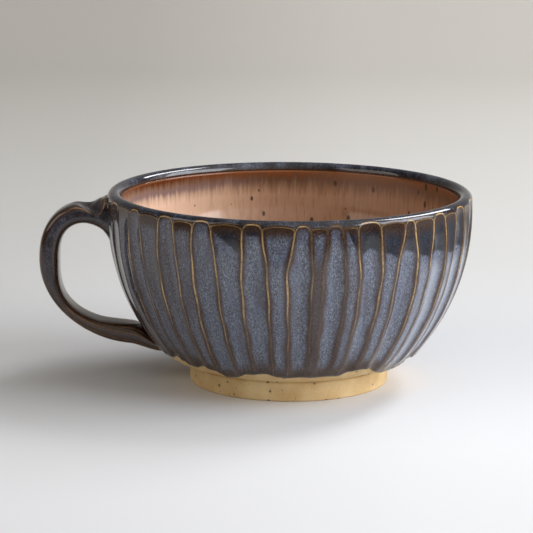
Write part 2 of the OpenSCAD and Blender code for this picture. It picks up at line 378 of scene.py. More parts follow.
@dataclass(frozen=True)
class FloatingBlueGlaze:
    """Glossy stoneware glaze that floats pale blue over dark, and breaks tan and brown where it is thin.

    The eye gets a fine speckle drawn out down the wall, tan lines with brown fringes on every carved
    edge, a dark navy band where two dips overlap, and sharp window highlights.

    The piece gives these values: flow, coordinates in mm that follow the surface; edge, mm to the
    nearest carved edge; tan, how bare that edge is; dip, mm below the dark band's end; brown, the share
    of brown where the coat is thin, partly painted shade on the side of the handle; rest, mm above the
    glaze line; pale, the share of a painted whitish sheen on the lower flutes at the right.

    Attributes:
        speck: Size of the crystals in mm, drawn coarse enough to show.
        cloud: Size of the bluer clouds in mm.
        streak: Width of the streaks in mm.
        patch: Size of the worn patches on the tan lines in mm.
        roughness: Roughness of the gloss.
        matt: How much rougher the bare edges are.
        ior: Index of refraction.
    """

    speck: float = 0.45
    cloud: float = 6.0
    streak: float = 2.4
    patch: float = 1.7
    roughness: float = 0.07
    matt: float = 0.16
    ior: float = 1.6

    def material(self) -> bpy.types.Material:
        """Builds the material.

        Returns:
            The material.
        """
        material, tree = new_material("floating_blue_stoneware_glaze")
        edge, bare, dip, thin, rest, pale = (
            add(tree, "Attribute", {"attribute_name": key}, out="Fac")
            for key in ("edge", "tan", "dip", "brown", "rest", "pale")
        )
        flow = add(tree, "Attribute", {"attribute_name": "flow"}, out="Vector")
        drawn_out, run_down = (
            add(tree, "Mapping", {"Scale": (1, 1, along)}, {"Vector": flow}) for along in (0.6, 0.13)
        )
        speck, cloud, streak, patch = (
            add(tree, "TexNoise", {"Scale": 1 / size, "Detail": detail, "Roughness": rough}, {"Vector": place})
            for size, detail, rough, place in (
                (self.speck, 2.0, 0.55, drawn_out),
                (self.cloud, 3.0, 0.6, drawn_out),
                (self.streak, 2.0, 0.5, run_down),
                (self.patch, 2.0, 0.5, flow),
            )
        )
        crystals, navy, bark = (
            add(tree, "ValToRGB", {"color_ramp": stops}, {"Fac": speck})
            for stops in (
                ((0.34, "#3a3b44"), (0.46, "#51555f"), (0.55, "#676f7e"), (0.68, "#878fa1")),
                ((0.38, "#06070d"), (0.54, "#0f121e"), (0.66, "#222940"), (0.78, "#445070")),
                ((0.35, "#281608"), (0.6, "#40260d"), (0.8, "#5c3915")),
            )
        )
        # Pale crystals over a darker melt: bluer in clouds, with violet-brown and paler streaks that ran down; the
        # last tone, by the pale share, is a painted whitish sheen
        colour = crystals
        for tone, value, low, high, most in (
            ("#5c6480", cloud, 0.4, 0.65, 0.35),
            ("#4d4550", streak, 0.5, 0.66, 0.55),
            ("#818998", streak, 0.48, 0.34, 0.2),
            ("#b4bac6", pale, 0.0, 1.0, 1.0),
        ):
            colour = lay(tree, colour, tone, value, low, high, most)
        # Navy band with a ragged end
        ragged = add(tree, "Math", {"operation": "MULTIPLY_ADD", 1: 3.0}, {0: cloud, 2: dip})
        colour = lay(tree, colour, navy, ragged, 2.2, 0.7, 0.94, soft=True)
        # Violet-brown, then brown, where the coat thins towards an edge; the brown share also lays brown and painted
        # shade on the side of the handle
        colour = lay(tree, colour, "#463c44", edge, 2.6, 0.6, 0.45, soft=True)
        reach = add(tree, "Math", {"operation": "MULTIPLY_ADD", 1: 3.4, 2: -0.5}, {0: cloud})
        near = add(tree, "Math", {"operation": "SUBTRACT"}, {0: edge, 1: reach})
        fringe = add(
            tree,
            "MapRange",
            {"interpolation_type": "SMOOTHSTEP", "From Min": 0.9, "From Max": -0.8, "To Max": 0.9},
            {"Value": near},
        )
        brown = add(tree, "Math", {"operation": "MAXIMUM"}, {0: fringe, 1: thin})
        colour = lay(tree, colour, bark, brown)
        # Tan on the bare edge itself, beaded and worn in patches, paler higher up
        beaded = add(tree, "Math", {"operation": "MULTIPLY_ADD", 1: 0.7}, {0: patch, 2: edge})
        crest = add(
            tree,
            "MapRange",
            {"interpolation_type": "SMOOTHSTEP", "From Min": 0.82, "From Max": 0.46},
            {"Value": beaded},
        )
        worn = add(
            tree, "MapRange", {"From Min": 0.36, "From Max": 0.6, "To Min": 0.38, "To Max": 1.25}, {"Value": patch}
        )
        for share in (bare, worn):
            crest = add(tree, "Math", {"operation": "MULTIPLY"}, {0: crest, 1: share})
        height = add(tree, "MapRange", {"From Min": 8.0, "From Max": 50.0}, {"Value": rest})
        tan = add(tree, "ValToRGB", {"color_ramp": ((0.1, "#8a6644"), (0.8, "#bf9f6c"))}, {"Fac": height})
        colour = lay(tree, colour, tan, crest)
        # Dark rolled edge at the glaze line
        colour = lay(tree, colour, "#17131a", rest, 3.2, 0.6, 0.92, soft=True)
        bump = add(tree, "Bump", {"Strength": 0.06, "Distance": 0.1 * MM}, {"Height": speck})
        rougher = {"To Min": self.roughness, "To Max": self.roughness + self.matt}
        matt = add(tree, "MapRange", rougher, {"Value": crest})
        shader = add(
            tree, "BsdfPrincipled", {"IOR": self.ior}, {"Base Color": colour, "Roughness": matt, "Normal": bump}
        )
        add(tree, "OutputMaterial", None, {"Surface": shader})
        return material


@dataclass(frozen=True)
class PinkLinerGlaze:
    """Satin-gloss liner glaze: pink-tan, running down from a rust and violet band under the lip.

    The eye gets a warm flat field with faint drips down the wall, a few dark iron spots, and painted light
    and shade: more pink on the handle side's inner wall, which faces the light, browner towards the shaded right.

    The piece gives these values: flow, coordinates in mm that follow the surface, and below, mm down
    from the lip's inner edge.

    Attributes:
        drip: Width of the drips in mm.
        drip_length: Their length in mm.
        slow: Size in mm of the slow changes in the band's depth.
        spot_spacing: Spacing of the iron spots' cells in mm.
        roughness: Roughness of the satin.
        ior: Index of refraction.
    """

    drip: float = 1.3
    drip_length: float = 12.0
    slow: float = 22.0
    spot_spacing: float = 4.0
    roughness: float = 0.1
    ior: float = 1.45

    def material(self) -> bpy.types.Material:
        """Builds the material.

        Returns:
            The material.
        """
        material, tree = new_material("pink_liner_glaze")
        flow = add(tree, "Attribute", {"attribute_name": "flow"}, out="Vector")
        below = add(tree, "Attribute", {"attribute_name": "below"}, out="Fac")
        hanging, longer = (
            add(tree, "Mapping", {"Scale": (1, 1, along)}, {"Vector": flow})
            for along in (self.drip / self.drip_length, 0.6)
        )
        drips = add(
            tree, "TexNoise", {"Scale": 1 / self.drip, "Detail": 3.0, "Roughness": 0.6}, {"Vector": hanging}
        )
        slow = add(tree, "TexNoise", {"Scale": 1 / self.slow, "Detail": 1.0}, {"Vector": flow})
        # The coat is thicker on the side of the handle; this share also lays painted light on that side's inner wall
        across = add(tree, "SeparateXYZ", None, {"Vector": flow}, "X")
        thick = add(tree, "MapRange", {"From Min": -8.0, "From Max": -52.0, "To Max": 0.6}, {"Value": across})
        # The band under the lip hangs lower where the drips, the slow changes and the thickness pull it
        depth = below
        for pull, lift in ((drips, -6.0), (slow, -3.0), (thick, -2.0)):
            depth = add(tree, "Math", {"operation": "MULTIPLY_ADD", 1: lift}, {0: pull, 2: depth})
        down = add(tree, "MapRange", {"From Min": -4.3, "From Max": 5.6}, {"Value": depth})
        up = add(tree, "Math", {"operation": "SUBTRACT", 0: 1.0}, {1: down})
        stops = (
            (0.0, "#84461c"), (0.2, "#683c20"), (0.38, "#5e4132"),
            (0.58, "#7a5c48"), (0.8, "#9b765c"), (1.0, "#ae896f"),
        )
        colour = add(tree, "ValToRGB", {"color_ramp": stops}, {"Fac": down})
        # Faint long drips over the field
        dark_drip, pale_drip, rise, fall = (
            add(tree, "MapRange", {"From Min": low, "From Max": high, "To Max": most}, {"Value": value})
            for value, low, high, most in (
                (drips, 0.52, 0.68, 0.4),
                (drips, 0.48, 0.34, 0.25),
                (down, 0.24, 0.45, 1.0),
                (down, 0.7, 0.5, 0.85),
            )
        )
        dark_drip, pale_drip, darker, painted_light_pink, violet = (
            add(tree, "Math", {"operation": "MULTIPLY"}, {0: one, 1: other})
            for one, other in ((dark_drip, down), (pale_drip, down), (thick, up), (thick, down), (rise, fall))
        )
        violet = add(tree, "Math", {"operation": "MULTIPLY"}, {0: violet, 1: thick})
        colour = lay(tree, colour, "#6a5040", dark_drip)
        colour = lay(tree, colour, "#b99a84", pale_drip)
        # A darker band on the side of the handle
        colour = lay(tree, colour, "#3a1a10", darker)
        # Golden line where the coat breaks over the lip's inner edge
        colour = lay(tree, colour, "#8a5220", below, 1.1, 0.3, 0.4)
        # Painted light and shade: lighter and more pink on the handle side's inner wall, which faces the light,
        # browner away from it towards the shaded right; then violet drips under the handle side's band
        colour = lay(tree, colour, "#fad6bc", painted_light_pink)
        colour = lay(tree, colour, "#80604a", across, -30.0, 40.0, 0.4)
        colour = lay(tree, colour, "#5c4456", violet)
        colour = iron_spots(tree, colour, "#33201a", longer, self.spot_spacing, 0.02, 0.85)
        bump = add(tree, "Bump", {"Strength": 0.1, "Distance": 0.2 * MM}, {"Height": drips})
        shader = add(
            tree,
            "BsdfPrincipled",
            {"IOR": self.ior, "Roughness": self.roughness},
            {"Base Color": colour, "Normal": bump},
        )
        add(tree, "OutputMaterial", None, {"Surface": shader})
        return material


@dataclass(frozen=True)
class BuffStoneware:
    """Bare fired buff stoneware: matt, warm and sandy, with small iron specks that burned through.

    Attributes:
        name: The material's name.
        pale: Colour of the clay where it is lightest.
        deep: Colour where it is darkest.
        grain: Size of the sand grain in mm, drawn coarse enough to show.
        cloud: Size in mm of the slow changes of tone.
        spot_spacing: Spacing of the iron specks in mm.
        roughness: Roughness of the bare clay.
    """

    name: str = "bare_buff_stoneware"
    pale: str = "#e3c998"
    deep: str = "#caa772"
    grain: float = 0.7
    cloud: float = 11.0
    spot_spacing: float = 2.4
    roughness: float = 0.78

    def material(self) -> bpy.types.Material:
        """Builds the material.

        Returns:
            The material.
        """
        material, tree = new_material(self.name)
        place = add(tree, "TexCoord", out="Object")
        grain, cloud = (
            add(tree, "TexNoise", {"Scale": 1 / MM / size, "Detail": detail, "Roughness": rough}, {"Vector": place})
            for size, detail, rough in ((self.grain, 3.0, 0.65), (self.cloud, 2.0, 0.5))
        )
        tone = add(tree, "Math", {"operation": "MULTIPLY_ADD", 1: 0.45}, {0: grain, 2: cloud})
        stops = ((0.5, self.deep), (0.95, self.pale))
        colour = add(tree, "ValToRGB", {"color_ramp": stops}, {"Fac": tone})
        colour = iron_spots(tree, colour, "#4a3524", place, self.spot_spacing * MM, 0.03, 0.8)
        bump = add(tree, "Bump", {"Strength": 0.35, "Distance": 0.15 * MM}, {"Height": grain})
        shader = add(tree, "BsdfPrincipled", {"Roughness": self.roughness}, {"Base Color": colour, "Normal": bump})
        add(tree, "OutputMaterial", None, {"Surface": shader})
        return material


@dataclass(frozen=True)
class PalePaper:
    """Matt paper for the sweep under and behind the mug: pale, with a faint fibre, and painted shade: dark in front,
    darker towards and up the back wall, to the left and close to the mug's right.

    Attributes:
        fibre: Size of the fibre in mm.
        roughness: Roughness of the paper.
    """

    fibre: float = 1 / 0.9
    roughness: float = 0.9

    def material(self) -> bpy.types.Material:
        """Builds the material.

        Returns:
            The material.
        """
        material, tree = new_material("pale_paper")
        place = add(tree, "TexCoord", out="Object")
        across = add(tree, "SeparateXYZ", None, {"Vector": place}, "X")
        depth = across.node.outputs["Y"]
        fibre = add(tree, "TexNoise", {"Scale": 1 / MM / self.fibre, "Detail": 2.0}, {"Vector": place})
        shade = add(tree, "Math", {"operation": "MULTIPLY_ADD", 1: 0.01}, {0: fibre, 2: depth})
        share = add(tree, "MapRange", {"From Min": -0.5, "From Max": 1.5}, {"Value": shade})
        # Painted shade from the front, through the floor round the mug, to the wall behind: dark in front of the
        # camera, palest round the mug, darker further back and up the wall, where the lamps' light falls off
        stops = (
            (0.1, "#77777a"), (0.145, "#e4e5e8"), (0.2, "#e8e9ec"), (0.28, "#d9dadd"), (0.38, "#d0d0cf"),
            (0.56, "#cbc9c5"), (0.94, "#c4c0b9"), (0.99, "#a8a5a1"), (1.0, "#a6a39f"),
        )
        colour = add(tree, "ValToRGB", {"color_ramp": stops}, {"Fac": share})
        # Painted shade: darker to the left and close to the mug's right, where the light falls off
        left = add(
            tree, "MapRange", {"From Min": 0.06, "From Max": -0.12, "To Min": 0.05, "To Max": 0.2}, {"Value": across}
        )
        beside = add(tree, "MapRange", {"From Min": 0.19, "From Max": 0.27, "To Max": 0.6}, {"Value": across})
        nearby = add(tree, "MapRange", {"From Min": 0.5, "From Max": 0.3}, {"Value": depth})
        painted_shade = add(tree, "Math", {"operation": "MULTIPLY_ADD"}, {0: beside, 1: nearby, 2: left})
        colour = lay(tree, colour, "#2c2a28", painted_shade)
        shader = add(tree, "BsdfPrincipled", {"Roughness": self.roughness}, {"Base Color": colour})
        add(tree, "OutputMaterial", None, {"Surface": shader})
        return material


# The bowl


@dataclass(frozen=True)
class BowlOutline:
    """The bowl's outline: a long wall arc, tangent to a tighter arc below and to a full round lip above.

    A place on the outside is its run, the distance down the wall from the widest level.
    """

    bowl_r: float = 72.0
    lip_top: float = 76.0
    belly_drop: float = 8.0
    sweep: float = math.radians(39)
    base_r: float = 21.0
    wall_t: float = 4.8
    foot_h: float = 8.4
    seat_cut: float = 0.3

    @property
    def belly_z(self) -> float:
        """Height of the widest level."""
        return self.lip_top - self.belly_drop

    @property
    def wall_r(self) -> float:
        """Radius of the long wall arc, from the height that it has to cover."""
        return self.base_r + (self.belly_z - self.base_r - self.foot_h + self.seat_cut) / math.sin(self.sweep)

    @property
    def wall_x(self) -> float:
        """Distance of the long arc's centre from the axis."""
        return self.bowl_r - self.wall_r

    @property
    def base_x(self) -> float:
        """Distance of the tighter arc's centre from the axis."""
        return self.wall_x + (self.wall_r - self.base_r) * math.cos(self.sweep)

    @property
    def base_z(self) -> float:
        """Height of the tighter arc's centre."""
        return self.belly_z - (self.wall_r - self.base_r) * math.sin(self.sweep)

    @property
    def wall_run(self) -> float:
        """Run at which the tighter arc starts."""
        return self.wall_r * self.sweep

    @property
    def end_run(self) -> float:
        """Run at the flat underside."""
        return self.wall_run + self.base_r * (math.asin((self.base_z - self.foot_h) / self.base_r) - self.sweep)

    @property
    def lip_r(self) -> float:
        """Radius of the round lip."""
        return self.wall_t / 2

    @property
    def lip_angle(self) -> float:
        """Angle of the lip's centre above the long arc's centre."""
        return math.asin((self.lip_top - self.lip_r - self.belly_z) / (self.wall_r - self.lip_r))

    @property
    def lip_centre(self) -> tuple[float, float]:
        """Radius and height of the lip's centre."""
        return self.wall_x + (self.wall_r - self.lip_r) * math.cos(self.lip_angle), self.lip_top - self.lip_r

    def wall(self, run: Array, out: Array | float) -> tuple[Array, Array]:
        """Points on the wall pushed out along its normal: centre plus radius times the normal.

        Args:
            run: Distances down the wall.
            out: How far to push out.

        Returns:
            Radii and heights.
        """
        on_base = run > self.wall_run
        angle = np.where(on_base, self.sweep + (run - self.wall_run) / self.base_r, run / self.wall_r)
        size = np.where(on_base, self.base_r, self.wall_r) + out
        radius = np.where(on_base, self.base_x, self.wall_x) + size * np.cos(angle)
        height = np.where(on_base, self.base_z, self.belly_z) - size * np.sin(angle)
        return radius, height

    def lip(self, angle: Array, out: Array | float) -> tuple[Array, Array]:
        """Points on the round lip.

        Args:
            angle: Angles from straight out, up and over.
            out: How far to push out.

        Returns:
            Radii and heights.
        """
        x, z = self.lip_centre
        return x + (self.lip_r + out) * np.cos(angle), z + (self.lip_r + out) * np.sin(angle)

    def carve_start(self, depth: Array, out: Array | float) -> Array:
        """Where a wall carved to a depth runs out through the round lip: two circles cross there.

        Args:
            depth: Depth of the carving.
            out: How far both surfaces are pushed out.

        Returns:
            Runs, below zero because they lie above the widest level.
        """
        apart = self.wall_r - self.lip_r
        reach = self.wall_r + out - depth
        cosine = (apart**2 + reach**2 - (self.lip_r + out) ** 2) / (2 * apart * reach)
        return -self.wall_r * (self.lip_angle + np.arccos(np.clip(cosine, -1, 1)))

    def inside(self, share: Array, out: float) -> tuple[Array, Array, Array]:
        """The inside face from the middle of the floor, up the wall, to the lip's inner edge.

        The floor is flat, then come the two arcs at the wall's thickness.

        Args:
            share: Places along it, from 0 on the axis to 1 at the lip.
            out: How far the face stands off the clay, towards the drink.

        Returns:
            Radii, heights, and distances down from the lip.
        """
        base_r, wall_r = self.base_r - self.wall_t - out, self.wall_r - self.wall_t - out
        turn_up = base_r * (math.pi / 2 - self.sweep)
        climb = wall_r * (self.sweep + self.lip_angle)
        s = share * (self.base_x + turn_up + climb)
        base_angle = -math.pi / 2 + (s - self.base_x) / base_r
        wall_angle = -self.sweep + (s - self.base_x - turn_up) / wall_r
        parts = [s < self.base_x, s < self.base_x + turn_up]
        radius = np.select(
            parts, [s, self.base_x + base_r * np.cos(base_angle)], self.wall_x + wall_r * np.cos(wall_angle)
        )
        height = np.select(
            parts,
            [np.full_like(s, self.base_z - base_r), self.base_z + base_r * np.sin(base_angle)],
            self.belly_z + wall_r * np.sin(wall_angle),
        )
        return radius, height, s.max() - s


@dataclass(frozen=True)
class Flutes:
    """The hand-carved flutes: deep ones with a round loop tool, shallow ones with a flatter tool between.

    Attributes:
        seen: Left and right edge of each deep flute on the seen side, in degrees from the front, at the
            lip and then at mid wall, read one by one.
        bare: Share of bare tan along each of those edges, in order.
        hidden: Deep flutes round the back, spaced evenly with a hand's unevenness.
        deep_width: Their width in degrees.
        deep_tool_r: Radius of the loop tool.
        shallow_tool_r: Radius of the flatter tool.
        deepest: Depth in mm that no cut passes.
        fine_sway: How far a ridge wavers in short waves, in degrees.
        slow_sway: How far it wavers in long ones.
        seed: Picks the hand's unevenness.
    """

    seen: tuple[tuple[float, float, float, float], ...] = (
        (-73.2, -66.5, -73.8, -66.0),
        (-58.0, -52.2, -58.7, -51.0),
        (-43.4, -37.4, -43.9, -36.2),
        (-30.2, -24.0, -30.5, -22.1),
        (-14.2, -8.0, -14.3, -6.4),
        (1.6, 6.3, -0.4, 7.1),
        (11.3, 16.0, 10.3, 17.2),
        (20.7, 28.2, 21.8, 29.0),
        (36.9, 40.8, 34.6, 42.8),
        (49.0, 55.0, 48.4, 56.6),
        (61.8, 68.6, 61.3, 69.2),
    )
    bare: tuple[float, ...] = (
        0.8, 0.7, 0.95, 0.8, 0.9, 0.7, 0.95, 0.85, 0.95, 0.9, 0.95,
        0.35, 0.15, 0.2, 0.75, 0.95, 0.6, 0.9, 0.8, 0.6, 0.7, 0.6,
    )
    hidden: int = 16
    deep_width: float = 7.4
    deep_tool_r: float = 7.0
    shallow_tool_r: float = 17.0
    deepest: float = 1.7
    fine_sway: float = 0.13
    slow_sway: float = 0.2
    seed: int = 11

    def ridges(self) -> tuple[Array, Array]:
        """Angles of all ridges round the bowl, from the first seen one.

        Returns:
            Angles at the lip and at mid wall, in radians, rising round the bowl.
        """
        rng = np.random.default_rng(self.seed)
        seen = np.array(self.seen)
        first, last = seen[0].reshape(2, 2).mean(1) + 360, seen[-1].reshape(2, 2).mean(1)
        share = np.arange(1, self.hidden + 1)[:, None] / (self.hidden + 1)
        centre = last + share * (first - last) + rng.normal(0, 0.5, (self.hidden, 1))
        half = self.deep_width / 2 + rng.normal(0, 0.3, (self.hidden, 1))
        hidden = np.stack([centre - half * [0.85, 1], centre + half * [0.85, 1]], -1)
        top = np.concatenate([seen[:, :2], hidden[:, 0]]).ravel()
        low = np.concatenate([seen[:, 2:], hidden[:, 1]]).ravel()
        return np.radians(top), np.radians(low)

    def edges(self, number: Array, run: Array) -> Array:
        """Turn of numbered ridges at a run: from the lip's place to mid wall's, with a hand's wobble.

        Args:
            number: Ridge numbers, which may pass the last one and go round again.
            run: Distances down the wall.

        Returns:
            Angles in radians.
        """
        top, low = self.ridges()
        count = len(top)
        round_again = 2 * math.pi * (number // count)
        which = number % count
        rng = np.random.default_rng(self.seed + 1)
        phase = rng.uniform(0, 2 * math.pi, (2, count))
        fine = np.radians(self.fine_sway) * np.sin(run / 2.6 + phase[0][which])
        sway = fine + np.radians(self.slow_sway) * np.sin(run / 11 + phase[1][which])
        share = ease(-6, 13, run)
        return top[which] + (low - top)[which] * share + sway * ease(-8, 4, run) + round_again


@dataclass(frozen=True)
class CarvedWall:
    """The carved outside of the bowl, as a grid that follows the ridges.

    Attributes:
        outline: The bowl's outline.
        flutes: Where the flutes are.
        columns: Columns of points across each flute, closer together at its edges.
    """

    outline: BowlOutline
    flutes: Flutes
    columns: int = 16

    @property
    def across(self) -> tuple[Array, Array]:
        """Columns across the flutes, closer together at the edges by a share of a cosine.

        Returns:
            Flute number and place across it, from 0 to 1, of every column.
        """
        even = np.arange(self.columns) / self.columns
        place = 0.5 * even + 0.25 * (1 - np.cos(math.pi * even))
        count = len(self.flutes.ridges()[0])
        return np.repeat(np.arange(count), self.columns), np.tile(place, count)

    def turn_and_width(self, run: Array) -> tuple[Array, Array]:
        """Turn of every column at its runs, and the angle that its flute spans there.

        Args:
            run: Distances down the wall, with columns last.

        Returns:
            Turns and spans, in radians.
        """
        flute, place = self.across
        left = self.flutes.edges(flute, run)
        width = self.flutes.edges(flute + 1, run) - left
        return left + place * width, width

    def depth(self, run: Array) -> Array:
        """Depth of the carving: a circle's segment as wide as the flute, lighter at the lip and the foot.

        Args:
            run: Distances down the wall, with columns last.

        Returns:
            Depths in mm.
        """
        flute, place = self.across
        turn, width = self.turn_and_width(run)
        radius, _ = self.outline.wall(run, 0.0)
        half = radius * width / 2
        # The first flute beside the handle is cut more lightly
        flatter = 1 - 0.55 * np.exp(-(((np.degrees(turn) + 70) / 6) ** 2))
        tool = np.where(flute % 2 == 0, self.flutes.deep_tool_r, self.flutes.shallow_tool_r)
        cut = (1 - (2 * place - 1) ** 2) * half**2 / (2 * tool)
        at_lip = 0.4 + 0.6 * ease(-5, 7, run)
        end = self.outline.end_run
        at_foot = 1 - 0.9 * ease(end - 14, end - 6, run)
        return np.minimum(cut, self.flutes.deepest) * flatter * at_lip * at_foot

    def rows(self, lip_rows: int, wall_rows: int, stop: Array, out: float) -> tuple[Array, Array, Array]:
        """Rows over the lip and down the wall of every column.

        Args:
            lip_rows: Rows from the lip's inner edge to where the carving starts.
            wall_rows: Rows from there to stop.
            stop: Run where each column ends.
            out: How far the surface stands off the clay.

        Returns:
            Angles on the lip, runs down the wall, and the start of the carving in each column.
        """
        depth = self.depth(np.full(len(stop), -5.0))
        start = self.outline.carve_start(depth, out)
        radius, height = self.outline.wall(start, out - depth)
        x, z = self.outline.lip_centre
        angle = np.arctan2(height - z, radius - x)
        inner = math.pi + self.outline.lip_angle
        lip = inner + np.linspace(0, 1, lip_rows, endpoint=False)[:, None] * (angle - inner)
        share = np.linspace(0, 1, wall_rows)[:, None]
        share = 0.75 * share + 0.25 * share**2
        return lip, start + (stop - start) * share, start


def round_grid(radius: Array, turn: Array, height: Array) -> Array:
    """Points from cylindrical places: radius times the turn's sine and minus its cosine, and the height.

    Args:
        radius: Radii.
        turn: Angles from the front.
        height: Heights.

    Returns:
        Points with a last axis of 3.
    """
    radius, turn, height = np.broadcast_arrays(radius, turn, height)
    return np.stack([radius * np.sin(turn), -radius * np.cos(turn), height], -1)


def table_degrees(turn: Array) -> Array:
    """Turns in degrees from TABLE_START round to a full turn later."""
    degrees = np.degrees(np.angle(np.exp(1j * turn)))
    return np.where(degrees < TABLE_START, degrees + 360, degrees)


@dataclass(frozen=True)
class OuterGlaze:
    """The blue coat from the lip's inner edge, over the lip, down to a wandering line above the foot.

    Attributes:
        wall: The carved clay that it covers.
        thickness: Typical thickness.
        arch_r: Radius of the corners at the top of a deep flute.
        roll_swell: Extra thickness of the rolled edge.
        roll_at: Distance of the thickest place from the glaze line.
        roll_width: Width of the rolled edge, and of its round at the line.
        ridge_thin: How much thinner the coat is on a ridge.
        ridge_width: Width of that.
        lip_rows: Rows of points over the lip.
        wall_rows: Rows down the wall.
        under_rows: Rows of the face on the clay.
        band: Where the dark band ends: turns from the front in degrees, and runs down the wall in mm.
        line: Where the glaze stops: turns in degrees, and distances up the wall from the foot.
    """

    wall: CarvedWall
    thickness: float = 0.5
    arch_r: float = 2.2
    roll_swell: float = 0.35
    roll_at: float = 1.3
    roll_width: float = 0.9
    ridge_thin: float = 0.18
    ridge_width: float = 0.45
    lip_rows: int = 18
    wall_rows: int = 74
    under_rows: int = 12
    band: tuple[tuple[float, float], ...] = (
        (-106, -9), (-100, 11), (-80, 12), (-77.5, -9), (-24, -9), (-22.5, -3), (-15.2, 4), (-14.2, -3.4),
        (-7.4, -2.4), (-6.4, -9), (16, -9),
        (19.5, 1), (21.7, 4.6), (25, 3.2), (28.8, 4.8), (32, 5.6), (34.6, 7), (38.5, 4.6), (42.7, 6.4),
        (46, 8.4), (48.4, 9.6), (52, 7.2), (56.5, 8.2), (60, 9.4), (65, 7.6), (72, 9.5), (90, 9),
        (150, 6), (200, -3), (230, -9), (254, -9),
    )
    line: tuple[tuple[float, float], ...] = (
        (-106, 12.0), (-61, 12.7), (-55, 14.0), (-52, 13.1), (-49, 12.6), (-48, 10.6), (-43, 10.6), (-37, 12.0),
        (-31.5, 10.4), (-29, 6.2), (-24.4, 7.4), (-21, 9.6), (-18.7, 11.0), (-13.6, 11.5), (-8.8, 11.4), (-4.6, 10.0),
        (0.7, 9.2), (5, 9.5), (9.4, 9.9), (18.5, 9.9), (23, 10.4), (27.4, 11.4), (29.4, 12.4), (33.2, 12.8),
        (36.8, 11.7), (41.8, 8.6), (48.3, 5.3), (54.7, 5.4), (57.6, 6.2), (62, 9.1), (66, 11.0), (80, 11.5),
        (120, 10.5), (150, 8.0), (160, 7.2), (175, 10.5), (200, 10.0), (215, 8.0), (230, 10.5), (254, 12.0),
    )

    def stop(self, turn: Array) -> Array:
        """Run where the glaze ends: between the points of its line, a little ragged.

        Args:
            turn: Angles round the bowl.

        Returns:
            Runs in mm.
        """
        line = self.wall.outline.end_run - np.interp(table_degrees(turn), *np.array(self.line).T)
        slow = hand_wobble(Seed.LINE_SLOW, turn, 0 * turn, 0.15)
        return line + slow + hand_wobble(Seed.LINE_FINE, turn, 0 * turn, 0.14, rounds=(16, 60))

    def build(self) -> Grid:
        """Makes the coat's outer face and its face on the clay, joined at the lip and the glaze line.

        Returns:
            The grid.
        """
        wall, outline = self.wall, self.wall.outline
        flute, _ = wall.across
        low_turn, _ = wall.turn_and_width(np.full(len(flute), outline.end_run))
        stop = self.stop(low_turn)
        outer, values = self.face(stop, self.lip_rows, self.wall_rows, self.thickness)
        inner, _ = self.face(stop, self.under_rows // 3, self.under_rows, 0.0)
        # The last row is the glaze line itself, which the outer face has too
        return Grid.coat(outer, inner[:-1][::-1], values)

    def face(self, stop: Array, lip_rows: int, wall_rows: int, thickness: float) -> tuple[Array, dict[str, Array]]:
        """One face of the coat: lip rows, then wall rows that stand off the carved clay.

        The outer face thins on the ridges, pools in the flutes, and swells to a rolled edge at the
        glaze line, where it rounds down to the clay.

        Args:
            stop: Run of the glaze line in every column.
            lip_rows: Rows over the lip.
            wall_rows: Rows down the wall.
            thickness: Thickness of the coat here, 0 on the clay.

        Returns:
            Points and the values that the finish needs.
        """
        wall, outline = self.wall, self.wall.outline
        _, place = wall.across
        lip, run, start = wall.rows(lip_rows, wall_rows, stop, thickness)
        turn, width = wall.turn_and_width(run)
        radius, _ = outline.wall(run, 0.0)
        from_ridge = np.minimum(place, 1 - place) * width * radius
        rest = stop - run
        swell = self.roll_swell * np.exp(-(((rest - self.roll_at) / self.roll_width) ** 2))
        rounding = np.sqrt(np.clip(1 - (1 - np.clip(rest / self.roll_width, 0, 1)) ** 2, 0, 1))
        soft = self.ridge_thin * np.exp(-((from_ridge / self.ridge_width) ** 2))
        uneven = hand_wobble(Seed.COAT, turn, run, 0.1)
        out = (thickness > 0) * ((thickness + swell - soft + uneven * ease(0, 5, run - start)) * rounding)
        wall_radius, wall_height = outline.wall(run, out - wall.depth(run))
        wall_points = round_grid(wall_radius, turn, wall_height)
        lip_turn, _ = wall.turn_and_width(start)
        lip_radius, lip_height = outline.lip(lip, thickness)
        lip_points = round_grid(lip_radius, lip_turn, lip_height)
        return np.concatenate([lip_points, wall_points]), self.values(lip, run, start, turn, from_ridge, rest)

    def from_arch(self, side: Array, down: Array) -> Array:
        """Distance to the outline of a flute with a rounded top: a straight edge, or a corner's circle.

        Args:
            side: Distances to the nearest ridge.
            down: Distances below the flute's top.

        Returns:
            Distances in mm.
        """
        r = self.arch_r
        corner = np.abs(r - np.hypot(np.maximum(r - side, 0), np.maximum(r - down, 0)))
        return np.where((side < r) | (down < r), corner, np.minimum(side, down))

